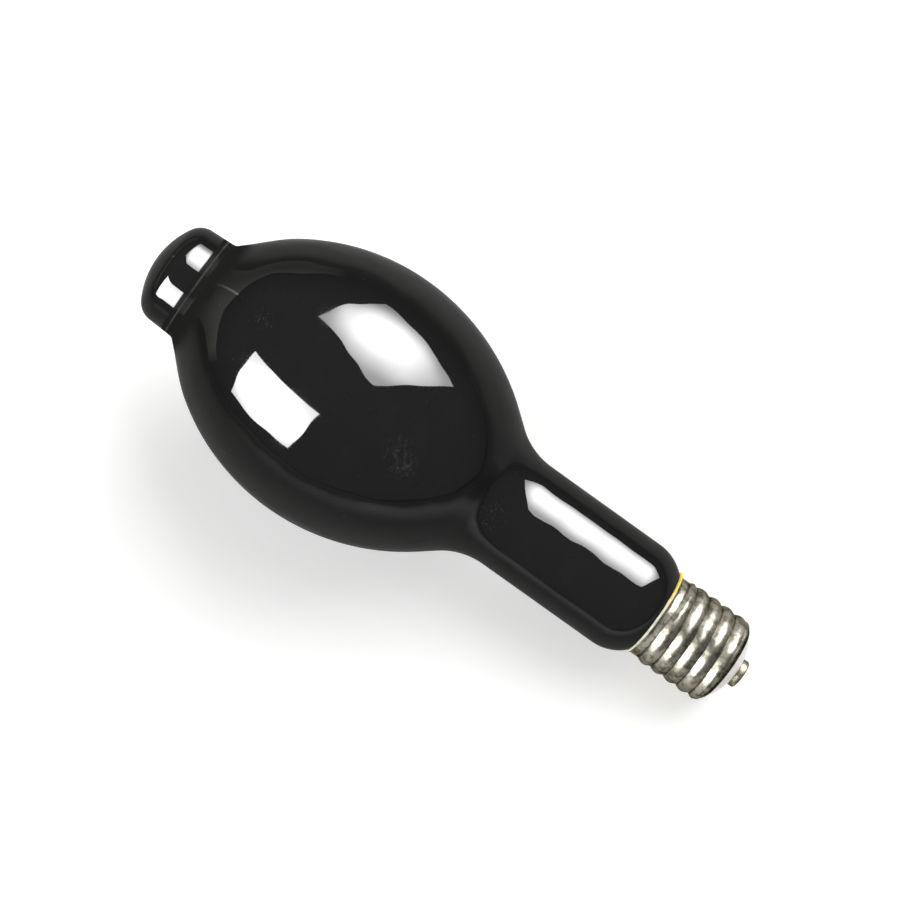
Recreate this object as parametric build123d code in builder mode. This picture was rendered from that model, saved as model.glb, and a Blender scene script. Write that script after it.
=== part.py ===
from build123d import *
from math import acos, asin, atan2, cos, degrees, hypot, radians, sin, sqrt, tan
import os

# Black glass ultraviolet lamp with a bulged-tubular bulb and a mogul screw base, in millimetres.
# The lamp has its own frame, in which z runs up its axis from the end face of the centre contact.
# It lies on a flat surface, on its bulge and on the shoulder of its screw shell.

# Glass bulb: heights are along the lamp's axis, from the end face of the contact
overall_length = 292.0
dome_rise = 12.3
dome_corner = 8.8
cap_end_radius = 21.9
cap_root_radius = 22.4
crease_radius = 3.5
bulge_height = 197.3
bulge_radius = 56.2
upper_arc_radius = 92.8
lower_arc_radius = 96.3
cone_angle = 38.3
waist_radius = 29.6
neck_radius = 24.25
shoulder_radius = 19.5
rim_gap = 0.65
plug_gap = 0.95
plug_height = 26.0
plug_corner = 3.0
plug_root_fillet = 1.2
exhaust_radius = 3.4
exhaust_length = 5.0

# Screw shell: mogul knuckle thread, rolled in thin sheet
sheet = 0.4
thread_major_radius = 19.75
thread_minor_radius = 17.95
thread_pitch = 6.35
thread_lead_in = 1.7
thread_end = 37.5
thread_overlap_turns = 0.5
root_flat = 0.3
root_step = 0.02
foot_overlap = 0.2
end_shoulder_radius = 19.1
end_shoulder_height = 10.9
end_corner = 1.85
end_cone_angle = 51.5
lip_height = 6.2
lower_run_out_angle = 45.0
upper_run_out_angle = 30.0
run_out_clearance = 0.5
tuck = 0.05
ring_tuck_angle = 60.0
overrun = 0.5
collar_radius = 18.5
collar_rise = 0.8
flare_rise = 1.6
flare_radius = 2.2
rim_height = 44.0

# Basing cement and the bead that it leaves outside the rim, thicker on one side
cement_depth = 5.2
cement_stand = 0.1
bead_section_radius = 1.15
bead_ring_radius = 18.4
bead_offset = 0.45
bead_side_angle = 78.0

# Insulator and centre contact
insulator_radius = 17.0
insulator_thickness = 8.7
insulator_seat_margin = 0.5
insulator_crown = 0.7
contact_radius = 6.15
contact_thickness = 3.3
contact_edge = 0.75
contact_bore = 1.2
shank_radius = 2.5
shank_projection = 0.5
solder_recess_radius = 2.2
solder_recess_depth = 0.8
solder_sink = 0.1
solder_dome = 0.2

# Lead wires and the solder on the collar
wire_radius = 0.4
wire_bend = 2.5
wire_exit_bend = 0.8
lead_offset = 6.5
lead_drop = 6.5
centre_lead_joggle = 4.0
side_lead_clearance = 0.07
weld_side_angle = 165.0
weld_radius = 1.7
weld_rise = 0.8

# The knuckle thread is one convex and one concave arc of the same radius, met at the pitch line
thread_depth = thread_major_radius - thread_minor_radius
knuckle_radius = (thread_depth**2 + (thread_pitch / 2) ** 2) / (4 * thread_depth)
crest_centre_radius = thread_major_radius - knuckle_radius
root_centre_radius = thread_minor_radius + knuckle_radius
flank_angle = degrees(atan2(thread_pitch / 4, knuckle_radius - thread_depth / 2))
end_centre_radius = end_shoulder_radius - end_corner
thread_start = end_shoulder_height - thread_lead_in
thread_turns = (thread_end - thread_start) / thread_pitch + thread_overlap_turns
collar_height = thread_end + collar_rise
flare_height = rim_height - flare_rise
weld_height = (collar_height + flare_height) / 2
cement_top = rim_height + cement_stand
cement_bottom = rim_height - cement_depth

# The glass fits inside the roots of the thread, and its shoulder stands clear of the flared rim
plug_radius = thread_minor_radius - sheet - plug_gap
flare_centre_radius = collar_radius + flare_radius
rim_radius = flare_centre_radius - sqrt((flare_radius + sheet) ** 2 - flare_rise**2)
shoulder_centre_radius = neck_radius - shoulder_radius
shoulder_height = rim_height + sqrt(shoulder_radius**2 - (rim_radius - rim_gap - shoulder_centre_radius) ** 2)

# The lamp tilts so far that the arc of the bulge and the arc of the shell's shoulder share one floor
run = bulge_height - end_shoulder_height
rise = lower_arc_radius - bulge_radius + end_centre_radius
reach = lower_arc_radius - end_corner
tilt = asin(reach / hypot(run, rise)) - atan2(rise, run)
floor_drop = (lower_arc_radius - bulge_height * sin(tilt)
              - (lower_arc_radius - bulge_radius) * cos(tilt))

# The cap's end is a flatter crown and a rounder corner, tangent to each other and to the cap's side
dome_height = overall_length - dome_rise
corner_offset = cap_end_radius - dome_corner
crown_radius = (dome_rise**2 - dome_corner**2 + corner_offset**2) / (2 * (dome_rise - dome_corner))
crown_angle = degrees(asin(corner_offset / (crown_radius - dome_corner)))

# The frame's origin lies under the middle of the lamp's length on the floor
contact_reach = (contact_radius - contact_edge) * sin(tilt) + contact_edge * (1 - cos(tilt))
cap_reach = (overall_length - crown_radius) * cos(tilt) + crown_radius
lamp = Plane(
    origin=((cap_reach - contact_reach) / 2, 0, floor_drop),
    x_dir=(sin(tilt), 0, cos(tilt)),
    z_dir=(-cos(tilt), 0, sin(tilt)),
)
lamp_axis = Axis(lamp.origin, lamp.z_dir)


def meridian(angle):
    """Plane through the lamp's axis, with x radial at the angle from the top and y up the axis."""
    radial = lamp.x_dir * cos(radians(angle)) + lamp.y_dir * sin(radians(angle))
    return Plane(origin=lamp.origin, x_dir=radial, z_dir=radial.cross(lamp.z_dir))


axial = meridian(0)


def root_radius(depth):
    """Radius at which a turn's section ends between two turns, the depth inside the shell's outer face."""
    return root_centre_radius - sqrt((knuckle_radius + depth) ** 2 - (root_flat / 2) ** 2)


def cone_point(depth, height):
    """Point at a height on the shell's end cone, the depth inside its outer face."""
    angle = radians(end_cone_angle)
    tangent_radius = end_centre_radius + (end_corner - depth) * cos(angle)
    tangent_height = end_shoulder_height - (end_corner - depth) * sin(angle)
    return (tangent_radius - (tangent_height - height) * tan(angle), height)


def thread_section(depth):
    """Draws one turn's section about the crest, the depth inside the shell's outer face."""
    root = root_radius(depth)
    half = (thread_pitch - root_flat) / 2
    root_angle = degrees(asin(root_flat / 2 / (knuckle_radius + depth)))
    crest = CenterArc((crest_centre_radius, 0), knuckle_radius - depth, -flank_angle, 2 * flank_angle)
    upper = CenterArc((root_centre_radius, thread_pitch / 2), knuckle_radius + depth,
                      180 + root_angle, flank_angle - root_angle)
    lower = CenterArc((root_centre_radius, -thread_pitch / 2), knuckle_radius + depth,
                      180 - flank_angle, flank_angle - root_angle)
    Polyline(upper @ 0, (root - foot_overlap, half), (root - foot_overlap, -half), lower @ 1)


def thread_ridge(depth):
    """Helical ridge of the rolled thread, the depth inside the shell's outer face."""
    with BuildLine() as path:
        Helix(
            pitch=thread_pitch,
            height=thread_turns * thread_pitch,
            radius=thread_major_radius,
            center=lamp.from_local_coords((0, 0, thread_start)),
            direction=lamp.z_dir,
        )
    start = lamp.to_local_coords(path.line @ 0)
    section = meridian(degrees(atan2(start.Y, start.X)))
    with BuildPart() as ridge:
        with BuildSketch(Plane(section.from_local_coords((0, thread_start, 0)), section.x_dir, section.z_dir)):
            with BuildLine():
                thread_section(depth)
            make_face()
        sweep(path=path.line, is_frenet=True)
    return ridge.part


def shell_form(depth, extra):
    """Solid bounded by the shell's wall, the depth inside its outer face and extra long at both ends."""
    core = root_radius(depth) - root_step
    corner = end_corner - depth
    collar = collar_radius - depth
    outer = thread_major_radius + run_out_clearance
    end = lip_height - extra
    top = rim_height + extra
    low_shift = depth / cos(radians(lower_run_out_angle)) - depth
    low_drop = (outer - end_centre_radius - corner + low_shift) / tan(radians(lower_run_out_angle))
    high_drop = (outer - core) / tan(radians(upper_run_out_angle))
    flare_turn = degrees(asin((top - flare_height) / (flare_radius + depth)))
    shoulder_centre = (end_centre_radius, end_shoulder_height)
    with BuildPart() as form:
        with BuildSketch(Plane(lamp.from_local_coords((0, 0, end - thread_pitch)), lamp.x_dir, lamp.z_dir)):
            Circle(core)
        extrude(amount=top - end + 2 * thread_pitch)
        add(thread_ridge(depth))
        with BuildSketch(axial):
            with BuildLine():
                ring = CenterArc(shoulder_centre, corner + tuck, -end_cone_angle, end_cone_angle + ring_tuck_angle)
                Polyline(
                    ring @ 1,
                    (end_centre_radius - end_corner, (ring @ 1).Y),
                    (end_centre_radius - end_corner, (ring @ 0).Y),
                    ring @ 0,
                )
            make_face()
        revolve(axis=lamp_axis)
        with BuildSketch(axial):
            with BuildLine():
                shoulder = CenterArc(shoulder_centre, corner, -end_cone_angle, end_cone_angle)
                Polyline(
                    shoulder @ 1,
                    (outer, end_shoulder_height + low_drop),
                    (outer, thread_end - high_drop),
                    (core, thread_end),
                    (0, thread_end),
                    (0, end),
                    cone_point(depth, end),
                    shoulder @ 0,
                )
            make_face()
        revolve(axis=lamp_axis, mode=Mode.INTERSECT)
        with BuildSketch(axial):
            with BuildLine():
                flare = CenterArc((flare_centre_radius, flare_height), flare_radius + depth, 180, -flare_turn)
                Polyline(
                    flare @ 1,
                    (0, top),
                    (0, thread_end),
                    (core, thread_end),
                    (collar, collar_height),
                    flare @ 0,
                )
            make_face()
        revolve(axis=lamp_axis)
    return form.part


# Lead wire to the centre contact
with BuildPart() as centre_lead:
    with BuildLine(meridian(weld_side_angle)) as path:
        FilletPolyline(
            (-lead_offset, plug_height),
            (-lead_offset, plug_height - lead_drop),
            (0, plug_height - lead_drop - centre_lead_joggle),
            (0, solder_recess_depth),
            radius=wire_bend,
        )
    with BuildSketch(Plane(path.line @ 0, z_dir=path.line % 0)):
        Circle(wire_radius)
    sweep(path=path.line)
centre_lead.part.label = "centre_lead"

# Lead wire to the shell, up the gap beside the glass and out through the collar
side_run_radius = plug_radius + side_lead_clearance + wire_radius
with BuildPart() as side_lead:
    with BuildLine(meridian(weld_side_angle)) as path:
        FilletPolyline(
            (lead_offset, plug_height),
            (lead_offset, plug_height - lead_drop),
            (side_run_radius, plug_height - lead_drop),
            (side_run_radius, weld_height),
            (collar_radius + weld_rise / 2, weld_height),
            radius=[wire_bend, wire_bend, wire_exit_bend],
        )
    with BuildSketch(Plane(path.line @ 0, z_dir=path.line % 0)):
        Circle(wire_radius)
    sweep(path=path.line)
side_lead.part.label = "side_lead"

# Glass bulb: one blown piece, from the domed cap to the sealed plug inside the base
upper_centre = bulge_radius - upper_arc_radius
cap_root_angle = degrees(acos((cap_root_radius - upper_centre) / upper_arc_radius))
cap_root_height = bulge_height + upper_arc_radius * sin(radians(cap_root_angle))
turn = 1 - cos(radians(cone_angle))
cone_drop = bulge_radius - lower_arc_radius * turn - neck_radius - waist_radius * turn
plug_angle = degrees(acos((plug_radius - shoulder_centre_radius) / shoulder_radius))
with BuildPart() as glass_envelope:
    with BuildSketch(axial) as outline:
        with BuildLine():
            crown = CenterArc((0, overall_length - crown_radius), crown_radius, 90 - crown_angle, crown_angle)
            corner = CenterArc((corner_offset, dome_height), dome_corner, 0, 90 - crown_angle)
            Line(corner @ 0, (cap_root_radius, cap_root_height))
            CenterArc((upper_centre, bulge_height), upper_arc_radius, 0, cap_root_angle)
            lower = JernArc((bulge_radius, bulge_height), (0, -1), lower_arc_radius, -cone_angle)
            cone = Line(lower @ 1, lower @ 1 + (lower % 1) * (cone_drop / sin(radians(cone_angle))))
            waist = JernArc(cone @ 1, cone % 1, waist_radius, cone_angle)
            neck = Line(waist @ 1, (neck_radius, shoulder_height))
            shoulder = JernArc(neck @ 1, (0, -1), shoulder_radius, -plug_angle)
            Polyline(
                shoulder @ 1,
                (plug_radius, plug_height),
                (exhaust_radius, plug_height),
                (exhaust_radius, plug_height - exhaust_length),
                (0, plug_height - exhaust_length),
                crown @ 1,
            )
        make_face()
        fillet(outline.vertices().sort_by_distance((cap_root_radius, cap_root_height))[0], crease_radius)
        fillet(outline.vertices().sort_by_distance((plug_radius, plug_height))[0], plug_corner)
        fillet(outline.vertices().sort_by_distance((exhaust_radius, plug_height))[0], plug_root_fillet)
    revolve(axis=lamp_axis)
glass_envelope.part.label = "glass_envelope"

# Screw shell: thin sheet between the rolled outer form and the same form one sheet further in
with BuildPart() as screw_shell:
    add(shell_form(0, 0))
    add(shell_form(sheet, overrun), mode=Mode.SUBTRACT)
    add(side_lead.part, mode=Mode.SUBTRACT)
screw_shell.part.label = "screw_shell"

# Cement: the ring in the collar and the bead squeezed out over the rim, cast against what it joins
bead_plane = meridian(bead_side_angle)
bead_axis = Axis(bead_plane.from_local_coords((bead_offset, 0, 0)), lamp.z_dir)
with BuildPart() as basing_cement:
    with BuildSketch(axial):
        with BuildLine():
            Polyline(
                (plug_radius - sheet, cement_bottom),
                (collar_radius - sheet / 2, cement_bottom),
                (collar_radius - sheet / 2, cement_top),
                (plug_radius - sheet, cement_top),
                close=True,
            )
        make_face()
    revolve(axis=lamp_axis)
    with BuildSketch(bead_plane):
        with Locations((bead_offset + bead_ring_radius, cement_top)):
            Circle(bead_section_radius)
    revolve(axis=bead_axis)
    add(glass_envelope.part, mode=Mode.SUBTRACT)
    add(screw_shell.part, mode=Mode.SUBTRACT)
    add(side_lead.part, mode=Mode.SUBTRACT)
basing_cement.part.label = "basing_cement"

# Insulator: cast into the shell's end cone, with a seat for the contact
inner_lip_point = cone_point(sheet, lip_height)
insulator_cone_height = lip_height + (insulator_radius - inner_lip_point[0]) / tan(radians(end_cone_angle))
with BuildPart() as insulator:
    with BuildSketch(axial):
        with BuildLine():
            crown = SagittaArc(
                (contact_radius + insulator_seat_margin, contact_thickness), inner_lip_point, -insulator_crown
            )
            Polyline(
                crown @ 1,
                (insulator_radius, insulator_cone_height),
                (insulator_radius, contact_thickness + insulator_thickness),
                (shank_radius, contact_thickness + insulator_thickness),
                (shank_radius, contact_thickness),
                crown @ 0,
            )
        make_face()
    revolve(axis=lamp_axis)
insulator.part.label = "insulator"

# Centre contact: a drawn button on a tubular shank, recessed for its solder
shank_top = contact_thickness + insulator_thickness + shank_projection
with BuildPart() as centre_contact:
    with BuildSketch(axial) as outline:
        with BuildLine():
            Polyline(
                (contact_bore, solder_recess_depth),
                (solder_recess_radius, solder_recess_depth),
                (solder_recess_radius, 0),
                (contact_radius, 0),
                (contact_radius, contact_thickness),
                (shank_radius, contact_thickness),
                (shank_radius, shank_top),
                (contact_bore, shank_top),
                close=True,
            )
        make_face()
        fillet(outline.vertices().sort_by_distance((contact_radius, 0))[0], contact_edge)
    revolve(axis=lamp_axis)
centre_contact.part.label = "centre_contact"

# Solder that holds the centre lead in the contact's recess
with BuildPart() as contact_solder:
    with BuildSketch(axial):
        with BuildLine():
            surface = ThreePointArc(
                (0, solder_sink),
                (solder_recess_radius / 2, solder_sink + solder_dome / 4),
                (solder_recess_radius, solder_sink + solder_dome),
            )
            Polyline(
                surface @ 1,
                (solder_recess_radius, solder_recess_depth),
                (0, solder_recess_depth),
                surface @ 0,
            )
        make_face()
    revolve(axis=lamp_axis)
contact_solder.part.label = "contact_solder"

# Solder that holds the side lead on the collar
weld_plane = meridian(weld_side_angle)
weld_base = collar_radius - sheet / 2
weld_sphere = (weld_radius**2 + weld_rise**2) / (2 * weld_rise)
weld_centre = collar_radius + weld_rise - weld_sphere
weld_angle = degrees(acos((weld_base - weld_centre) / weld_sphere))
with BuildPart() as side_solder:
    with BuildSketch(weld_plane):
        with BuildLine():
            cap = CenterArc((weld_centre, weld_height), weld_sphere, 0, weld_angle)
            Polyline(cap @ 1, (weld_base, weld_height), cap @ 0)
        make_face()
    revolve(axis=Axis(weld_plane.from_local_coords((0, weld_height, 0)), weld_plane.x_dir))
    add(screw_shell.part, mode=Mode.SUBTRACT)
    add(side_lead.part, mode=Mode.SUBTRACT)
side_solder.part.label = "side_solder"

os.makedirs("parts", exist_ok=True)
pieces = (
    glass_envelope,
    basing_cement,
    screw_shell,
    insulator,
    centre_contact,
    contact_solder,
    centre_lead,
    side_lead,
    side_solder,
)
for piece in pieces:
    export_step(piece.part, f"parts/{piece.part.label}.step")
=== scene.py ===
from math import acos, asin, atan2, cos, hypot, pi, radians, sin, sqrt, tan

import bmesh
import bpy
from mathutils import Matrix, Vector, noise


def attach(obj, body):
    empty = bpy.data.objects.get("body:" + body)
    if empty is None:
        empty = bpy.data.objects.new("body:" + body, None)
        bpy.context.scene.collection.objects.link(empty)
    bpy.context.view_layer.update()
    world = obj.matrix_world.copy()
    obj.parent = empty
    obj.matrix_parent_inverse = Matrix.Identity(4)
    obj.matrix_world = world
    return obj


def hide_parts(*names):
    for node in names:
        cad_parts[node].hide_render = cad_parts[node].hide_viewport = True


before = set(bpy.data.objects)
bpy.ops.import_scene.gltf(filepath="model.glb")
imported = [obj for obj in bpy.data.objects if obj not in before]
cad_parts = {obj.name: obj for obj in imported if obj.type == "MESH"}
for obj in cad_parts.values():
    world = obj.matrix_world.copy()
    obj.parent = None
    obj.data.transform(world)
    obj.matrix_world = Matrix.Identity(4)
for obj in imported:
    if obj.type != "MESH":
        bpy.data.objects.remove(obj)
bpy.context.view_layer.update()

# Sizes of the lamp in millimetres, along its own axis from the end face of the contact

# Glass bulb
OVERALL_LENGTH = 292.0
DOME_RISE = 12.3
DOME_CORNER = 8.8
CAP_END_RADIUS = 21.9
CAP_ROOT_RADIUS = 22.4
CREASE_RADIUS = 3.0
CREASE_HEIGHT = 269.0
FLANK_START = 250.0
FLANK_END = 264.0
FLANK_DROP = 0.85
BULGE_HEIGHT = 197.3
BULGE_RADIUS = 56.2
UPPER_ARC = 92.8
LOWER_ARC = 96.3
CONE_ANGLE = radians(38.3)
WAIST_ARC = 29.6
NECK_RADIUS = 24.25
SHOULDER_ARC = 19.5
RIM_GAP = 0.65
PLUG_GAP = 0.95
PLUG_HEIGHT = 26.0
PLUG_CORNER = 3.0
EXHAUST_RADIUS = 3.4
EXHAUST_LENGTH = 5.0

# Screw shell
SHEET = 0.4
THREAD_MAJOR = 19.75
THREAD_MINOR = 17.95
THREAD_PITCH = 6.35
THREAD_START = 9.2
THREAD_END = 38.6
CREST_BREADTH = 0.5
CREST_WEAR = 0.15
ROOT_FILL = 0.45
END_SHOULDER_RADIUS = 19.1
END_SHOULDER_HEIGHT = 10.9
END_CORNER = 1.85
END_CONE_ANGLE = radians(51.5)
LIP_HEIGHT = 8.0
LOWER_RUN_OUT = radians(45)
UPPER_RUN_OUT = radians(30)
RUN_OUT_REACH = 1.9
RUN_OUT_SIDE = radians(-30)
COLLAR_RADIUS = 18.5
COLLAR_RISE = 0.3
FLARE_RISE = 1.6
FLARE_RADIUS = 2.2
RIM_HEIGHT = 44.0
SHELL_STEP = 0.2

# Basing cement
CEMENT_DEPTH = 5.2
CEMENT_STAND = 0.1
CEMENT_TUCK = 0.2
BEAD_SECTION = 1.15
BEAD_RING = 18.4
BEAD_OFFSET = 0.45
BEAD_SIDE = radians(78)
BEAD_POINTS = 24
BEAD_SINK = 0.15
BEAD_SPREAD = 0.1
BEAD_FOOT = 41.0

# Insulator, contact and solder
INSULATOR_RADIUS = 17.0
INSULATOR_THICKNESS = 8.7
INSULATOR_SEAT_MARGIN = 0.5
INSULATOR_CROWN = 0.7
CONTACT_RADIUS = 6.15
CONTACT_EDGE = 0.75
CONTACT_THICKNESS = 3.3
CONTACT_BORE = 1.2
CONTACT_CHAMFER = 0.25
SHANK_RADIUS = 2.5
SHANK_PROJECTION = 0.5
RECESS_RADIUS = 2.2
RECESS_DEPTH = 0.8
RECESS_EDGE = 0.2
SOLDER_SINK = 0.1
SOLDER_DOME = 0.2
SOLDER_RIPPLE = 0.05
WELD_SIDE = radians(165)
WELD_RADIUS = 1.7
WELD_RISE = 0.8
WELD_HEIGHT = 40.35

MM = 0.001


# Colour

def colour(code):
    """Linear colour from a hex sRGB code."""
    parts = [int(code[i:i + 2], 16) / 255 for i in (1, 3, 5)]
    return [c / 12.92 if c <= 0.04045 else ((c + 0.055) / 1.055) ** 2.4 for c in parts] + [1]


# The lamp's own frame, as it lies on its bulge and on the shoulder at the shell's end

end_centre = END_SHOULDER_RADIUS - END_CORNER
run = BULGE_HEIGHT - END_SHOULDER_HEIGHT
rise = LOWER_ARC - BULGE_RADIUS + end_centre
tilt = asin((LOWER_ARC - END_CORNER) / hypot(run, rise)) - atan2(rise, run)
floor_drop = LOWER_ARC - BULGE_HEIGHT * sin(tilt) - (LOWER_ARC - BULGE_RADIUS) * cos(tilt)
corner_offset = CAP_END_RADIUS - DOME_CORNER
crown_radius = (DOME_RISE**2 - DOME_CORNER**2 + corner_offset**2) / (2 * (DOME_RISE - DOME_CORNER))
crown_angle = asin(corner_offset / (crown_radius - DOME_CORNER))
contact_reach = (CONTACT_RADIUS - CONTACT_EDGE) * sin(tilt) + CONTACT_EDGE * (1 - cos(tilt))
cap_reach = (OVERALL_LENGTH - crown_radius) * cos(tilt) + crown_radius
lamp_x = Vector((sin(tilt), 0, cos(tilt)))
lamp_y = Vector((0, 1, 0))
lamp_z = Vector((-cos(tilt), 0, sin(tilt)))
lamp_origin = Vector(((cap_reach - contact_reach) / 2, 0, floor_drop)) * MM
lamp_turn = Matrix((lamp_x, lamp_y, lamp_z)).transposed().to_4x4()
lamp_to_row = Matrix.Translation(lamp_origin) @ lamp_turn @ Matrix.Scale(MM, 4)


# Mesh making

def arc(centre, radius, start, end, count):
    """Points (radius from the axis, height) along an arc, from one angle to another."""
    return [
        (centre[0] + radius * cos(start + (end - start) * i / count),
         centre[1] + radius * sin(start + (end - start) * i / count))
        for i in range(count + 1)
    ]


def line(start, end, count):
    """Points along a straight run, both ends included."""
    return [(start[0] + (end[0] - start[0]) * i / count, start[1] + (end[1] - start[1]) * i / count)
            for i in range(count + 1)]


def joined(*runs):
    """One list of points from several, without the doubled ends."""
    points = []
    for run_points in runs:
        for point in run_points:
            if not points or hypot(point[0] - points[-1][0], point[1] - points[-1][1]) > 1e-4:
                points.append(point)
    return points


def turned(name, points, steps, form=None, closed=False, matrix=lamp_to_row):
    """A piece turned about the matrix's z axis, where form(index, radius, height, angle) may shape it."""
    if closed:
        points = points + [points[0]]
    count = len(points) - 1
    bm = bmesh.new()
    bmesh.ops.create_grid(bm, x_segments=count, y_segments=steps, size=0.5)
    for vert in bm.verts:
        index = round((vert.co.x + 0.5) * count)
        angle = (vert.co.y + 0.5) * 2 * pi
        radius, height = points[index]
        if form:
            radius, height = form(index % count if closed else index, radius, height, angle)
        vert.co = Vector((radius * cos(angle), radius * sin(angle), height))
    bmesh.ops.remove_doubles(bm, verts=bm.verts, dist=1e-4)
    bmesh.ops.dissolve_degenerate(bm, edges=bm.edges, dist=1e-5)
    bmesh.ops.recalc_face_normals(bm, faces=bm.faces)
    bmesh.ops.transform(bm, matrix=matrix, verts=bm.verts)
    return finished(name, bm)


def finished(name, bm):
    """Object from a bmesh, smooth, at the origin."""
    mesh = bpy.data.meshes.new(name)
    bm.to_mesh(mesh)
    bm.free()
    mesh.shade_smooth()
    obj = bpy.data.objects.new(name, mesh)
    bpy.context.scene.collection.objects.link(obj)
    return obj


def piece(obj, finish, slot, *nodes):
    """Dresses a finished piece and ties it to the frame."""
    obj.data.materials.clear()
    obj.data.materials.append(finish)
    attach(obj, "root")
    if nodes:
        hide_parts(*nodes)


# Glass bulb

plug_radius = THREAD_MINOR - SHEET - PLUG_GAP
flare_centre = COLLAR_RADIUS + FLARE_RADIUS
rim_radius = flare_centre - sqrt((FLARE_RADIUS + SHEET) ** 2 - FLARE_RISE**2)
shoulder_centre = NECK_RADIUS - SHOULDER_ARC
shoulder_height = RIM_HEIGHT + sqrt(SHOULDER_ARC**2 - (rim_radius - RIM_GAP - shoulder_centre) ** 2)


def corner_arc(before, corner, after, radius, count):
    """Points of a fillet of a radius between two straight runs that meet at a corner."""
    corner = Vector(corner)
    one = (Vector(before) - corner).normalized()
    two = (Vector(after) - corner).normalized()
    half = acos(max(-1, min(1, one.dot(two)))) / 2
    centre = corner + (one + two).normalized() * (radius / sin(half))
    start = corner + one * (radius / tan(half)) - centre
    end = corner + two * (radius / tan(half)) - centre
    first = atan2(start.y, start.x)
    sweep = (atan2(end.y, end.x) - first + pi) % (2 * pi) - pi
    return arc(centre, radius, first, first + sweep, count)


def flank_radius(height):
    """Radius of the bulge above its widest place, drawn in to a straighter flank towards the cap's crease."""
    share = min(1, max(0, (height - FLANK_START) / (FLANK_END - FLANK_START)))
    drawn_in = FLANK_DROP * share * share * (3 - 2 * share)
    return BULGE_RADIUS - UPPER_ARC + sqrt(UPPER_ARC**2 - (height - BULGE_HEIGHT) ** 2) - drawn_in


def bulb_profile():
    """The glass's outline from the crown of its cap to the exhaust stub inside the base."""
    dome_height = OVERALL_LENGTH - DOME_RISE
    crown = arc((0, OVERALL_LENGTH - crown_radius), crown_radius, pi / 2, pi / 2 - crown_angle, 22)
    corner = arc((corner_offset, dome_height), DOME_CORNER, pi / 2 - crown_angle, 0, 16)
    flank = [(flank_radius(height), height) for _, height in line((0, FLANK_END), (0, BULGE_HEIGHT), 110)]
    crease = corner_arc(corner[-1], (CAP_ROOT_RADIUS, CREASE_HEIGHT), flank[0], CREASE_RADIUS, 12)
    lower = arc((BULGE_RADIUS - LOWER_ARC, BULGE_HEIGHT), LOWER_ARC, 0, -CONE_ANGLE, 60)
    turn = 1 - cos(CONE_ANGLE)
    drop = BULGE_RADIUS - LOWER_ARC * turn - NECK_RADIUS - WAIST_ARC * turn
    waist_top = (lower[-1][0] - drop, lower[-1][1] - drop / tan(CONE_ANGLE))
    waist_centre = (NECK_RADIUS + WAIST_ARC, waist_top[1] - WAIST_ARC * sin(CONE_ANGLE))
    waist = arc(waist_centre, WAIST_ARC, pi - CONE_ANGLE, pi, 26)
    plug_angle = acos((plug_radius - shoulder_centre) / SHOULDER_ARC)
    shoulder = arc((shoulder_centre, shoulder_height), SHOULDER_ARC, 0, -plug_angle, 24)
    plug = corner_arc(shoulder[-1], (plug_radius, PLUG_HEIGHT), (0, PLUG_HEIGHT), PLUG_CORNER, 5)
    exhaust = [
        (EXHAUST_RADIUS, PLUG_HEIGHT),
        (EXHAUST_RADIUS, PLUG_HEIGHT - EXHAUST_LENGTH),
        (0, PLUG_HEIGHT - EXHAUST_LENGTH),
    ]
    return joined(crown, corner, line(corner[-1], crease[0], 8), crease, line(crease[-1], flank[0], 8), flank,
                  lower, line(lower[-1], waist_top, 8), waist, line(waist[-1], shoulder[0], 24), shoulder,
                  line(shoulder[-1], plug[0], 3), plug, exhaust)


# Screw shell

root_radius = THREAD_MINOR + ROOT_FILL
crest_radius = THREAD_MAJOR - CREST_WEAR
flare_height = RIM_HEIGHT - FLARE_RISE


def thread_radius(height, angle, depth):
    """Radius of the rolled thread at a height and an angle, with broad crests and narrow, shallow roots."""
    phase = (height - THREAD_START) / THREAD_PITCH - (angle - pi) / (2 * pi)
    swell = (0.5 + 0.5 * cos(2 * pi * phase)) ** CREST_BREADTH
    return root_radius + (crest_radius - root_radius) * swell - depth


def shell_radius(height, angle, depth):
    """Radius of the shell's wall at a height and an angle, the depth inside its outer face."""
    corner = END_CORNER - depth
    shoulder_low = END_SHOULDER_HEIGHT - corner * sin(END_CONE_ANGLE)
    cone_radius = end_centre + corner * cos(END_CONE_ANGLE)
    if height < shoulder_low:
        return cone_radius - (shoulder_low - height) * tan(END_CONE_ANGLE)
    if height < END_SHOULDER_HEIGHT:
        return end_centre + sqrt(max(0, corner**2 - (END_SHOULDER_HEIGHT - height) ** 2))
    if height >= flare_height:
        return flare_centre - sqrt((FLARE_RADIUS + depth) ** 2 - (height - flare_height) ** 2)
    core = root_radius - depth
    end = THREAD_END + RUN_OUT_REACH * (0.5 + 0.5 * cos(angle - RUN_OUT_SIDE))
    if height >= end:
        rising = min(1, (height - end) / COLLAR_RISE)
        return core + (COLLAR_RADIUS - depth - core) * rising
    low_limit = end_centre + corner + (height - END_SHOULDER_HEIGHT) / tan(LOWER_RUN_OUT)
    high_limit = core + (end - height) * tan(UPPER_RUN_OUT)
    radius = min(thread_radius(height, angle, depth), low_limit, high_limit)
    ring = end_centre + sqrt(max(0, corner**2 - (height - END_SHOULDER_HEIGHT) ** 2))
    return max(radius, ring if height < END_SHOULDER_HEIGHT + corner else 0)


def shell_mesh():
    """The shell as one thin wall, outer and inner faces joined at the lip and the rim."""
    count = round((RIM_HEIGHT - LIP_HEIGHT) / SHELL_STEP)
    outer = line((0, LIP_HEIGHT), (0, RIM_HEIGHT), count)
    inner = line((SHEET, RIM_HEIGHT), (SHEET, LIP_HEIGHT), count // 2)

    def form(index, depth, height, angle):
        return shell_radius(height, angle, depth), height

    return turned("screw_shell_rolled", outer + inner, 180, form, closed=True)


# Basing cement

cement_top = RIM_HEIGHT + CEMENT_STAND


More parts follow.
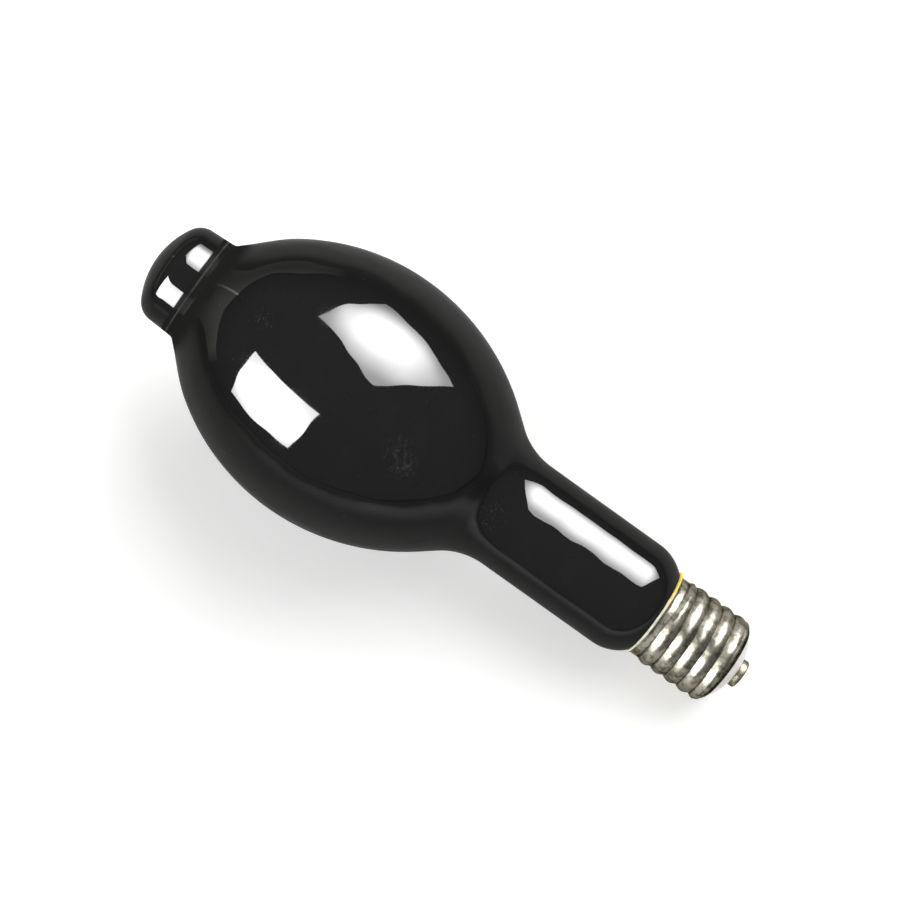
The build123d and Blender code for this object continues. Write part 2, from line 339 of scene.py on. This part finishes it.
def glass_radius(height):
    """Radius of the glass's shoulder at a height near the rim."""
    return shoulder_centre + sqrt(SHOULDER_ARC**2 - (shoulder_height - height) ** 2)


def lump(angle, seed, frequency):
    """Smooth random value from -1 to 1 that runs round the lamp and closes on itself."""
    return noise.noise(Vector((cos(angle) * frequency, sin(angle) * frequency, seed)))


def bead_mesh():
    """The bead squeezed out between rim and glass, lumpy, and thicker on one side."""
    section = [(BEAD_SECTION, 2 * pi * i / BEAD_POINTS) for i in range(BEAD_POINTS)]

    def form(index, size, turn, angle):
        ring = BEAD_RING + BEAD_OFFSET * cos(angle - BEAD_SIDE) + 0.1 * lump(angle, 1.5, 2.2)
        size = size * (1 + 0.1 * lump(angle, 4.5, 3.1) + 0.04 * lump(angle, 8.5, 11))
        radius = ring + size * cos(turn)
        height = cement_top + size * sin(turn) * (1 + 0.12 * lump(angle, 2.5, 4))
        radius = max(radius, glass_radius(height) - BEAD_SINK)
        if height < RIM_HEIGHT:
            wall = shell_radius(max(height, BEAD_FOOT), angle, SHEET)
            radius = min(radius, wall + BEAD_SPREAD)
        return radius, height

    return turned("cement_bead", section, 240, form, closed=True)


def cement_ring_mesh():
    """The ring of cement between the collar and the glass."""
    low = RIM_HEIGHT - CEMENT_DEPTH
    wall = THREAD_MINOR - SHEET
    section = line((plug_radius, low), (wall, low), 2)
    section += line((wall, flare_height), (plug_radius + CEMENT_TUCK, flare_height), 2)
    return turned("cement_ring", section, 96, closed=True)


# Insulator, contact and solder

def insulator_mesh():
    """White insulator: crowned face with soft edges, cast against the end cone."""
    corner = END_CORNER - SHEET
    tangent_radius = end_centre + corner * cos(END_CONE_ANGLE)
    tangent_height = END_SHOULDER_HEIGHT - corner * sin(END_CONE_ANGLE)
    lip = (tangent_radius - (tangent_height - LIP_HEIGHT) * tan(END_CONE_ANGLE), LIP_HEIGHT)
    start = (CONTACT_RADIUS + INSULATOR_SEAT_MARGIN, CONTACT_THICKNESS)
    chord = hypot(lip[0] - start[0], lip[1] - start[1])
    outward = ((lip[1] - start[1]) / chord, -(lip[0] - start[0]) / chord)
    count = 24
    face = []
    for i in range(count + 1):
        share = i / count
        bow = INSULATOR_CROWN * (1 - (2 * share - 1) ** 2)
        face.append((start[0] + (lip[0] - start[0]) * share + outward[0] * bow,
                     start[1] + (lip[1] - start[1]) * share + outward[1] * bow))
    cone_end = LIP_HEIGHT + (INSULATOR_RADIUS - lip[0]) / tan(END_CONE_ANGLE)
    top = CONTACT_THICKNESS + INSULATOR_THICKNESS
    back = [(INSULATOR_RADIUS, cone_end), (INSULATOR_RADIUS, top), (SHANK_RADIUS, top),
            (SHANK_RADIUS, CONTACT_THICKNESS)]
    return turned("insulator_glazed", joined(face, back), 128, closed=True)


def contact_mesh():
    """Centre contact: drawn button with rounded edges and a recess for the solder."""
    edge = arc((CONTACT_RADIUS - CONTACT_EDGE, CONTACT_EDGE), CONTACT_EDGE, -pi / 2, 0, 10)
    recess_edge = arc((RECESS_RADIUS + RECESS_EDGE, RECESS_EDGE), RECESS_EDGE, pi, 3 * pi / 2, 5)
    top = CONTACT_THICKNESS + INSULATOR_THICKNESS + SHANK_PROJECTION
    section = joined(
        [(CONTACT_BORE, RECESS_DEPTH), (RECESS_RADIUS, RECESS_DEPTH)], recess_edge, edge,
        [(CONTACT_RADIUS, CONTACT_THICKNESS - CONTACT_CHAMFER),
         (CONTACT_RADIUS - CONTACT_CHAMFER, CONTACT_THICKNESS),
         (SHANK_RADIUS, CONTACT_THICKNESS), (SHANK_RADIUS, top), (CONTACT_BORE, top)],
    )
    return turned("contact_button", section, 96, closed=True)


def contact_solder_mesh():
    """Solder that fills the contact's recess, a little sunk and uneven."""
    count = 14
    face = [(RECESS_RADIUS * i / count, SOLDER_SINK + SOLDER_DOME * (i / count) ** 2)
            for i in range(count + 1)]
    section = face + [(RECESS_RADIUS, RECESS_DEPTH), (0, RECESS_DEPTH)]

    def form(index, radius, height, angle):
        ripple = SOLDER_RIPPLE * noise.noise(Vector((radius * cos(angle), radius * sin(angle), 3.3)))
        inner = radius / RECESS_RADIUS
        return radius, height + ripple * (1 - inner**4) if index <= count else height

    return turned("solder_centre", section, 48, form)


def side_solder_mesh():
    """Blob of solder on the collar, over the end of the side lead."""
    base = COLLAR_RADIUS - SHEET / 2
    sphere = (WELD_RADIUS**2 + WELD_RISE**2) / (2 * WELD_RISE)
    centre = COLLAR_RADIUS + WELD_RISE - sphere
    reach = acos((base - centre) / sphere)
    count = 16
    cap = [(sphere * sin(reach * i / count), centre + sphere * cos(reach * i / count))
           for i in range(count + 1)]
    section = cap + [(0, base)]

    def form(index, radius, height, angle):
        if 0 < index < len(cap):
            radius *= 1 + 0.08 * lump(angle, 6.5, 1.3) * index / len(cap)
        return radius, height

    radial = Vector((cos(WELD_SIDE), sin(WELD_SIDE), 0))
    across = Vector((-sin(WELD_SIDE), cos(WELD_SIDE), 0))
    turn = Matrix((across, Vector((0, 0, 1)), radial)).transposed().to_4x4()
    place = lamp_to_row @ Matrix.Translation((0, 0, WELD_HEIGHT)) @ turn
    return turned("solder_side", section, 48, form, matrix=place)


# Shader nodes

MATH = "ShaderNodeMath"
VECTOR_MATH = "ShaderNodeVectorMath"
COORDINATES = "ShaderNodeTexCoord"
NOISE = "ShaderNodeTexNoise"
RANGE = "ShaderNodeMapRange"
MIX = "ShaderNodeMix"
BUMP = "ShaderNodeBump"
PRINCIPLED = "ShaderNodeBsdfPrincipled"
EMISSION = "ShaderNodeEmission"

PLUS = {"operation": "ADD"}
MINUS = {"operation": "SUBTRACT"}
TIMES = {"operation": "MULTIPLY"}
TIMES_PLUS = {"operation": "MULTIPLY_ADD"}
POWER = {"operation": "POWER"}
LARGER = {"operation": "MAXIMUM"}
SMOOTH = {"interpolation_type": "SMOOTHSTEP"}

# A mix of colours takes them at its inputs 6 and 7, and gives its result at output 2
COLOURS = {"data_type": "RGBA"}


def add(tree, kind, settings=None, output=0, **inputs):
    """Adds a node with its settings and links, and gives one of its outputs, or the node where that is None.

    Each input is a value or another node's output, and i1 stands for the input of that number."""
    made = tree.nodes.new(kind)
    for name, value in (settings or {}).items():
        setattr(made, name, value)
    for name, value in inputs.items():
        socket = made.inputs[int(name[1:])] if name[1:].isdigit() else made.inputs[name.replace("_", " ")]
        if isinstance(value, bpy.types.NodeSocket):
            tree.links.new(value, socket)
        else:
            socket.default_value = value
    return made if output is None else made.outputs[output]


def material(name, surface, *values):
    """A material whose shader is what a surface function gives for its node tree and some values."""
    made = bpy.data.materials.new(name)
    made.use_nodes = True
    made.node_tree.nodes.clear()
    shader = surface(made.node_tree, *values)
    add(made.node_tree, "ShaderNodeOutputMaterial", output=None, Surface=shader)
    return made


def per_mm(size):
    """Scale of a pattern whose features are about a size in millimetres across."""
    return 1 / (size * MM)


def lamp_coordinates(tree):
    """Coordinates about the lamp's axis, in metres: x and y across it and z along it."""
    where = add(tree, COORDINATES, output="Object")
    moved = add(tree, VECTOR_MATH, MINUS, i0=where, i1=lamp_origin)
    parts = [add(tree, VECTOR_MATH, {"operation": "DOT_PRODUCT"}, "Value", i0=moved, i1=axis)
             for axis in (lamp_x, lamp_y, lamp_z)]
    return add(tree, "ShaderNodeCombineXYZ", X=parts[0], Y=parts[1], Z=parts[2])


def patches(tree, where, places):
    """1 at two places, each given in metres with its reach in millimetres, falling to 0 at that reach."""
    near = []
    for centre, reach in places:
        away = add(tree, VECTOR_MATH, {"operation": "DISTANCE"}, "Value", i0=where, i1=centre)
        near.append(add(tree, RANGE, SMOOTH, Value=away, From_Min=0, From_Max=reach * MM, To_Min=1, To_Max=0))
    return add(tree, MATH, LARGER, i0=near[0], i1=near[1])


def band(tree, value, rise_from, rise_to, fall_from, fall_to):
    """1 between two heights in millimetres and 0 past them, with a soft rise and a soft fall."""
    rising = add(tree, RANGE, SMOOTH, Value=value, From_Min=rise_from * MM, From_Max=rise_to * MM)
    falling = add(tree, RANGE, SMOOTH, Value=value, From_Min=fall_from * MM, From_Max=fall_to * MM,
                  To_Min=1, To_Max=0)
    return add(tree, MATH, TIMES, i0=rising, i1=falling)


# Materials

# The real dust and scratches are finer, and are drawn as coarse as they need to be to show

# Heights along the axis in millimetres where each rises and falls
DULL_RING = (260, 266, 273.9, 274.6)
# The next heights are those of the light line painted on the crease as its highlight
CREASE_GLINT = (271.45, 271.8, 272.1, 272.45)
COLLAR_START = 40.2
COLLAR_WHOLE = 40.8

# Places on the glass in metres, each with its reach in millimetres
SCUFF_PLACES = (((-0.014, -0.0165, 0.0993), 9), ((-0.0095, -0.0205, 0.0955), 9))
SPECK_PLACES = (((-0.0861, -0.0045, 0.1095), 7), ((0.0254, -0.0113, 0.0659), 12))


def black_glass(tree):
    """Blown near-black filter glass: deep gloss, wavy from the mould, with a little dust and some handling
    marks, and painted light:
    a lighter outline as painted rim reflection, a dull ring by the cap's crease lightened in place of its
    lost reflection, and a light line on the crease as painted highlight."""
    where = add(tree, COORDINATES, output="Object")
    height = add(tree, "ShaderNodeSeparateXYZ", output="Z", Vector=lamp_coordinates(tree))
    edge_on = add(tree, "ShaderNodeLayerWeight", output="Facing", Blend=0.5)
    face_on = add(tree, MATH, MINUS, i0=1, i1=edge_on)

    # Filter glass, painted lighter towards its outline where it turns from the eye (painted rim reflection),
    # and dust on it
    cloud = add(tree, NOISE, Vector=where, Scale=per_mm(17), Detail=4, Roughness=0.6)
    smear = add(tree, RANGE, SMOOTH, Value=cloud, From_Min=0.5, From_Max=0.72)
    grit = add(tree, NOISE, Vector=where, Scale=per_mm(1.6), Detail=2, Roughness=0.6)
    dust = add(tree, RANGE, SMOOTH, Value=grit, From_Min=0.72, From_Max=0.78)
    painted_rim_sheen = add(tree, RANGE, SMOOTH, Value=face_on, From_Min=0.3, From_Max=0.8, To_Min=1, To_Max=0)
    clear = add(tree, MIX, COLOURS, 2, Factor=smear, i6=colour("#141414"), i7=colour("#171716"))
    rim_sheened = add(tree, MIX, COLOURS, 2, Factor=painted_rim_sheen, i6=clear, i7=colour("#20201f"))
    dusty = add(tree, MIX, COLOURS, 2, Factor=dust, i6=rim_sheened, i7=colour("#34322f"))

    # Dull ring by the crease, its colour lightened in place of the reflection its dulled gloss loses (painted
    # reflection), and a light line on the crease, painted as its highlight
    dull = band(tree, height, *DULL_RING)
    ring_painted_sheen = add(tree, MIX, COLOURS, 2, Factor=dull, i6=dusty, i7=colour("#20201f"))
    # Painted highlight: a broken light line along the crease, standing in for its reflection
    breaks = add(tree, NOISE, Vector=where, Scale=per_mm(5), Detail=2)
    strength = add(tree, RANGE, SMOOTH, Value=breaks, From_Min=0.3, From_Max=0.6, To_Min=0.35, To_Max=1)
    painted_crease_glint = add(tree, MATH, TIMES, i0=band(tree, height, *CREASE_GLINT), i1=strength)
    crease_glinted = add(tree, MIX, COLOURS, 2, Factor=painted_crease_glint, i6=ring_painted_sheen, i7=colour("#474744"))

    # Scuffs that run along a wipe, and specks
    along_wipe = add(tree, "ShaderNodeMapping", {"vector_type": "TEXTURE"}, Vector=where,
                     Rotation=(0, 0, radians(35)), Scale=(1, 3.2, 1))
    streaks = add(tree, NOISE, Vector=along_wipe, Scale=per_mm(1.9), Detail=5, Roughness=0.75)
    wipe = add(tree, RANGE, SMOOTH, Value=streaks, From_Min=0.46, From_Max=0.7)
    scuffs = add(tree, MATH, TIMES, i0=wipe, i1=patches(tree, where, SCUFF_PLACES))
    crumbs = add(tree, NOISE, Vector=where, Scale=per_mm(0.9), Detail=2)
    dots = add(tree, RANGE, SMOOTH, Value=crumbs, From_Min=0.6, From_Max=0.66)
    specks = add(tree, MATH, TIMES, i0=dots, i1=patches(tree, where, SPECK_PLACES))
    faint_specks = add(tree, MATH, TIMES, i0=specks, i1=0.8)
    both = add(tree, MATH, LARGER, i0=scuffs, i1=faint_specks)
    marks = add(tree, MATH, TIMES, i0=both, i1=0.75)
    tint = add(tree, MIX, COLOURS, 2, Factor=marks, i6=crease_glinted, i7=colour("#454441"))

    # Waves of the blown wall, and a gloss that is strongest where the glass faces the eye
    rough = add(tree, MATH, TIMES_PLUS, i0=smear, i1=0.04, i2=0.03)
    long_waves = add(tree, NOISE, Vector=where, Scale=per_mm(45), Detail=1)
    slow = add(tree, BUMP, Height=long_waves, Distance=0.25 * MM, Strength=1)
    short_waves = add(tree, NOISE, Vector=where, Scale=per_mm(11), Detail=0)
    wave = add(tree, BUMP, Height=short_waves, Distance=0.2 * MM, Strength=1, Normal=slow)
    steep = add(tree, RANGE, SMOOTH, Value=face_on, From_Min=0.62, From_Max=0.84, To_Min=0, To_Max=0.4)
    soft_gloss = add(tree, MATH, POWER, i0=face_on, i1=2.2)
    gloss = add(tree, MATH, TIMES_PLUS, i0=soft_gloss, i1=0.12, i2=steep)
    undulled = add(tree, MATH, TIMES_PLUS, i0=dull, i1=-0.985, i2=1)
    shine = add(tree, MATH, TIMES, i0=gloss, i1=undulled)
    return add(tree, PRINCIPLED, Base_Color=tint, Roughness=rough, IOR=1.5, Specular_IOR_Level=shine,
               Normal=wave)


def nickel_plate(tree, bright, dull, root_shade, crest_from, crest_to, end):
    """Tarnished nickel plate on brass sheet, with painted shade: darker in the roots and past its end, so
    brighter on crests and collar. The crests brighten between two radii, and the end is a height, all in
    millimetres."""
    where = lamp_coordinates(tree)
    split = add(tree, "ShaderNodeSeparateXYZ", output=None, Vector=where)
    along = split.outputs["Z"]
    squares = [add(tree, MATH, POWER, i0=split.outputs[axis], i1=2) for axis in "XY"]
    across_squared = add(tree, MATH, PLUS, i0=squares[0], i1=squares[1])
    across = add(tree, MATH, {"operation": "SQRT"}, i0=across_squared)
    collar = add(tree, RANGE, SMOOTH, Value=along, From_Min=COLLAR_START * MM, From_Max=COLLAR_WHOLE * MM)
    ridge = add(tree, RANGE, SMOOTH, Value=across, From_Min=crest_from * MM, From_Max=crest_to * MM)
    crest = add(tree, MATH, LARGER, i0=collar, i1=ridge)
    short_of_end = add(tree, RANGE, SMOOTH, Value=along, From_Min=end * MM, From_Max=(end + 1.2) * MM)

    # Blotches of tarnish on the plate, flecks of it in the roots
    tarnish = add(tree, NOISE, Vector=where, Scale=per_mm(3.4), Detail=6, Roughness=0.68)
    blotch = add(tree, RANGE, SMOOTH, Value=tarnish, From_Min=0.4, From_Max=0.62)
    grime = add(tree, NOISE, Vector=where, Scale=per_mm(1.1), Detail=3, Roughness=0.6)
    fleck = add(tree, RANGE, SMOOTH, Value=grime, From_Min=0.42, From_Max=0.62)
    plate = add(tree, MIX, COLOURS, 2, Factor=blotch, i6=colour(bright), i7=colour(dull))
    # Painted shade: the thread's roots, and the end cone below the end, take a darker colour, flecked with
    # the plate's dull tone
    root = add(tree, MIX, COLOURS, 2, Factor=fleck, i6=colour(root_shade), i7=colour(dull))
    shade = add(tree, MATH, TIMES, i0=crest, i1=short_of_end)
    tint = add(tree, MIX, COLOURS, 2, Factor=shade, i6=root, i7=plate)

    # Fine scratches round the shell, and shallow dents
    streak = add(tree, VECTOR_MATH, TIMES, i0=where, i1=(1, 1, 3))
    scratch = add(tree, NOISE, Vector=streak, Scale=per_mm(2.4), Detail=4, Roughness=0.6)
    worn = add(tree, MATH, TIMES_PLUS, i0=blotch, i1=0.08, i2=0.26)
    roughness = add(tree, MATH, TIMES_PLUS, i0=scratch, i1=0.2, i2=worn)
    hollows = add(tree, NOISE, Vector=where, Scale=per_mm(4.5), Detail=2)
    dent = add(tree, BUMP, Height=hollows, Distance=0.1 * MM, Strength=1)
    fine = add(tree, BUMP, Height=scratch, Distance=0.02 * MM, Strength=1, Normal=dent)
    return add(tree, PRINCIPLED, Base_Color=tint, Metallic=1, Roughness=roughness,
               Specular_Tint=colour("#8d897b"), Normal=fine)


def basing_cement(tree):
    """Cured basing cement: yellow where it stands thick, cream where it is thin, granular and matt."""
    where = lamp_coordinates(tree)
    split = add(tree, "ShaderNodeSeparateXYZ", output=None, Vector=where)
    one_way = add(tree, MATH, TIMES, i0=split.outputs["X"], i1=cos(BEAD_SIDE))
    other_way = add(tree, MATH, TIMES, i0=split.outputs["Y"], i1=sin(BEAD_SIDE))
    side = add(tree, MATH, PLUS, i0=one_way, i1=other_way)
    speckle = add(tree, NOISE, Vector=where, Scale=per_mm(0.9), Detail=4, Roughness=0.65)
    uneven = add(tree, MATH, TIMES_PLUS, i0=speckle, i1=8 * MM, i2=side)
    yellow = add(tree, RANGE, SMOOTH, Value=uneven, From_Min=6 * MM, From_Max=18 * MM)
    tint = add(tree, MIX, COLOURS, 2, Factor=yellow, i6=colour("#cbc7b2"), i7=colour("#dcc23c"))
    hollows = add(tree, RANGE, SMOOTH, Value=speckle, From_Min=0.55, From_Max=0.8)
    shaded = add(tree, MIX, COLOURS, 2, Factor=hollows, i6=tint, i7=colour("#98905c"))
    rough = add(tree, BUMP, Height=speckle, Distance=0.12 * MM, Strength=1)
    return add(tree, PRINCIPLED, Base_Color=shaded, Roughness=0.75, Normal=rough)


def glazed_insulator(tree):
    """White glazed ceramic, with faint pits and a slight unevenness of the glaze."""
    where = add(tree, COORDINATES, output="Object")
    cloud = add(tree, NOISE, Vector=where, Scale=per_mm(6), Detail=3)
    thin = add(tree, RANGE, SMOOTH, Value=cloud, From_Min=0.4, From_Max=0.7)
    tint = add(tree, MIX, COLOURS, 2, Factor=thin, i6=colour("#eceae4"), i7=colour("#dfdcd2"))
    grit = add(tree, NOISE, Vector=where, Scale=per_mm(0.8), Detail=2)
    pits = add(tree, RANGE, SMOOTH, Value=grit, From_Min=0.68, From_Max=0.76)
    pitted = add(tree, MIX, COLOURS, 2, Factor=pits, i6=tint, i7=colour("#a9a497"))
    uneven = add(tree, BUMP, Height=cloud, Distance=0.05 * MM, Strength=1)
    return add(tree, PRINCIPLED, Base_Color=pitted, Roughness=0.28, IOR=1.5, Normal=uneven)


def tin_solder(tree):
    """Flowed tin solder: satin, slightly frosted, with a darker flux film in places."""
    where = add(tree, COORDINATES, output="Object")
    frost = add(tree, NOISE, Vector=where, Scale=per_mm(0.35), Detail=4, Roughness=0.6)
    flux = add(tree, NOISE, Vector=where, Scale=per_mm(1.4), Detail=3)
    film = add(tree, RANGE, SMOOTH, Value=flux, From_Min=0.5, From_Max=0.68)
    tint = add(tree, MIX, COLOURS, 2, Factor=film, i6=colour("#c3c2bd"), i7=colour("#8f8569"))
    roughness = add(tree, MATH, TIMES_PLUS, i0=frost, i1=0.3, i2=0.2)
    frosted = add(tree, BUMP, Height=frost, Distance=0.02 * MM, Strength=1)
    return add(tree, PRINCIPLED, Base_Color=tint, Metallic=1, Roughness=roughness, Normal=frosted)


def drawn_wire(tree):
    """Drawn nickel wire, satin and a little mottled."""
    where = add(tree, COORDINATES, output="Object")
    mottle = add(tree, NOISE, Vector=where, Scale=per_mm(0.3), Detail=4, Roughness=0.7)
    tint = add(tree, MIX, COLOURS, 2, Factor=mottle, i6=colour("#aaa598"), i7=colour("#87816f"))
    roughness = add(tree, MATH, TIMES_PLUS, i0=mottle, i1=0.2, i2=0.25)
    return add(tree, PRINCIPLED, Base_Color=tint, Metallic=1, Roughness=roughness)


# The dressed object

piece(turned("bulb_blown", bulb_profile(), 180), material("blown_black_filter_glass", black_glass),
      "black_glass", "glass_envelope")
# The shell takes painted shade in its thread roots and on its end cone
shell_plate = material("nickel_plated_shell", nickel_plate, "#88847a", "#4a4840", "#2b2922", 18.4, 18.75, 9.2)
piece(shell_mesh(), shell_plate, "plated_shell", "screw_shell")
cement = material("cured_basing_cement", basing_cement)
piece(bead_mesh(), cement, "cement", "basing_cement")
piece(cement_ring_mesh(), cement, "cement")
piece(insulator_mesh(), material("white_glazed_ceramic", glazed_insulator), "white_insulator", "insulator")
# The contact takes the same painted shade near its axis, in its recess and bore
contact_plate = material("nickel_plated_contact", nickel_plate, "#7d7868", "#524e42", "#322f25", 1.8, 2.6, -2)
piece(contact_mesh(), contact_plate, "plated_contact", "centre_contact")
solder = material("flowed_tin_solder", tin_solder)
piece(contact_solder_mesh(), solder, "solder", "contact_solder")
piece(side_solder_mesh(), solder, "solder", "side_solder")
wire = material("drawn_nickel_wire", drawn_wire)
for name in ("centre_lead", "side_lead"):
    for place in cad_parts[name].material_slots:
        place.material = wire


# Floor, world, lamps and camera

# Lengths in metres, angles in radians and the lens in millimetres
TABLE_SIZE = 12
TABLE_DROP = 0.0001
WHITE_REACH = 0.3
GREY_REACH = 0.9
TABLE_LIFT = 0.28
WORLD_LIGHT = 0.25
WALL_HEIGHT = 0.9
WALL_MIDDLE = 0.35
AZIMUTH = radians(33.95)
ELEVATION = radians(75.89)
DISTANCE = 1.0993
AIM_HEIGHT = 0.05
AIM_RIGHT = -0.00071
AIM_UP = 0.00673
LENS = 108.67


def stage_panel(name, matrix, width, height, dress):
    """A flat panel that is part of the studio and not of the object."""
    bm = bmesh.new()
    bmesh.ops.create_grid(bm, x_segments=1, y_segments=1, size=0.5)
    bmesh.ops.transform(bm, matrix=matrix @ Matrix.Diagonal((width, height, 1, 1)), verts=bm.verts)
    panel = finished(name, bm)
    panel.data.materials.append(dress)
    return panel


def table_with_painted_falloff(tree):
    """Table, white near the object and grey farther out as painted shade in place of its light falling off,
    and a little brighter to the eye and in reflections than its light makes it."""
    path = add(tree, "ShaderNodeLightPath", output=None)
    looked_at = add(tree, MATH, LARGER, i0=path.outputs["Is Camera Ray"], i1=path.outputs["Is Glossy Ray"])
    seen = add(tree, MATH, LARGER, i0=looked_at, i1=path.outputs["Is Transmission Ray"])
    where = add(tree, COORDINATES, output="Object")
    away = add(tree, VECTOR_MATH, {"operation": "LENGTH"}, "Value", i0=where)
    # Painted shade: the table turns from white to grey past a reach from the object, as if less lit there,
    # and its lift fades out with it
    beyond = add(tree, RANGE, SMOOTH, Value=away, From_Min=WHITE_REACH, From_Max=GREY_REACH)
    sheet = add(tree, MIX, COLOURS, 2, Factor=beyond, i6=colour("#f4f4f3"), i7=colour("#8f8f8d"))
    paint = add(tree, "ShaderNodeBsdfDiffuse", Color=sheet, Roughness=0)
    bright = add(tree, MIX, COLOURS, 2, Factor=beyond, i6=colour("#ffffff"), i7=colour("#000000"))
    strength = add(tree, MATH, TIMES, i0=seen, i1=TABLE_LIFT)
    lift = add(tree, EMISSION, Color=bright, Strength=strength)
    return add(tree, "ShaderNodeAddShader", i0=paint, i1=lift)


def glowing_face(tree, centre, shade, glow, edge_glow, near, far):
    """Glow that is whole up to one distance from its centre, and has faded to its edge's at another."""
    where = add(tree, COORDINATES, output="Object")
    back = add(tree, VECTOR_MATH, MINUS, i0=where, i1=centre)
    reach = add(tree, VECTOR_MATH, {"operation": "LENGTH"}, "Value", i0=back)
    level = add(tree, RANGE, SMOOTH, Value=reach, From_Min=near, From_Max=far, To_Min=glow, To_Max=edge_glow)
    return add(tree, EMISSION, Color=colour(shade), Strength=level)


def facing(centre, across, along, normal):
    """Matrix of a panel at a place, with its own axes; its z axis points away from the object."""
    turn = Matrix((Vector(across), -Vector(along), -Vector(normal))).transposed().to_4x4()
    return Matrix.Translation(centre) @ turn


def glow_panel(name, matrix, width, height, shade, glow, fade, near, far):
    """Glowing face that only gloss and metal see. Near and far are shares of its width, fade of its glow."""
    face = material(name, glowing_face, matrix.translation, shade, glow, glow * fade, near * width,
                    far * width)
    panel = stage_panel(name, matrix, width, height, face)
    for ray in ("camera", "diffuse", "transmission", "volume_scatter", "shadow"):
        setattr(panel, "visible_" + ray, False)


def softbox(name, matrix, width, height, power, glow, fade, near, far):
    """A softbox: an area lamp, and the bright face that gloss and metal see in its place."""
    lamp_data = bpy.data.lights.new(name, "AREA")
    lamp_data.shape = "RECTANGLE"
    lamp_data.size = width
    lamp_data.size_y = height
    lamp_data.energy = power
    lamp = bpy.data.objects.new(name, lamp_data)
    lamp.matrix_world = matrix
    lamp.visible_glossy = False
    bpy.context.scene.collection.objects.link(lamp)
    glow_panel(name + "_face", matrix, width, height, "#ffffff", glow, fade, near, far)


def wall_strip(name, azimuth, distance, width, shade, glow, fade, near, far):
    """Upright glowing part of a wall, at an azimuth and a distance from the object."""
    turn = radians(azimuth)
    out = Vector((sin(turn), -cos(turn), 0))
    centre = out * distance + Vector((0, 0, WALL_MIDDLE))
    matrix = facing(centre, out.cross((0, 0, 1)), (0, 0, 1), -out)
    glow_panel(name, matrix, width, WALL_HEIGHT, shade, glow, fade, near, far)


scene = bpy.context.scene
scene.view_settings.view_transform = "Standard"
world = bpy.data.worlds.new("studio")
world.use_nodes = True
background = world.node_tree.nodes["Background"]
background.inputs["Color"].default_value = colour("#ffffff")
background.inputs["Strength"].default_value = WORLD_LIGHT
scene.world = world
stage_panel("table", Matrix.Translation((0, 0, -TABLE_DROP)), TABLE_SIZE, TABLE_SIZE,
            material("white_table", table_with_painted_falloff))
far_place = facing((0.215, 1.800, 1.782), (0.855, -0.518, -0.039), (-0.395, -0.697, 0.599),
                   (-0.337, -0.497, -0.800))
softbox("softbox_far", far_place, width=2.395, height=2.523, power=70, glow=33, fade=0.24,
        near=0.08, far=0.66)
near_place = facing((-1.157, -2.324, 1.505), (-0.929, 0.344, -0.139), (0.181, 0.748, 0.639),
                    (0.324, 0.568, -0.756))
softbox("softbox_near", near_place, width=2.167, height=2.413, power=60, glow=40, fade=0.5,
        near=0.1, far=0.75)
wall_strip("dim_wall", azimuth=-106, distance=3, width=7.4, shade="#fffef2", glow=1.5, fade=0.35,
           near=0.36, far=0.52)
wall_strip("wall_edge", azimuth=-102, distance=2.9, width=0.08, shade="#ffffff", glow=6, fade=1,
           near=1, far=2)

look = Vector((-sin(AZIMUTH) * cos(ELEVATION), cos(AZIMUTH) * cos(ELEVATION), -sin(ELEVATION)))
right = Vector((cos(AZIMUTH), sin(AZIMUTH), 0))
up = right.cross(look)
aim = Vector((0, 0, AIM_HEIGHT)) + right * AIM_RIGHT + up * AIM_UP
camera_turn = Matrix((right, up, -look)).transposed().to_4x4()
camera_data = bpy.data.cameras.new("camera")
camera_data.lens = LENS
camera_data.clip_end = 100
camera = bpy.data.objects.new("camera", camera_data)
camera.matrix_world = Matrix.Translation(aim - look * DISTANCE) @ camera_turn
scene.collection.objects.link(camera)
scene.camera = camera
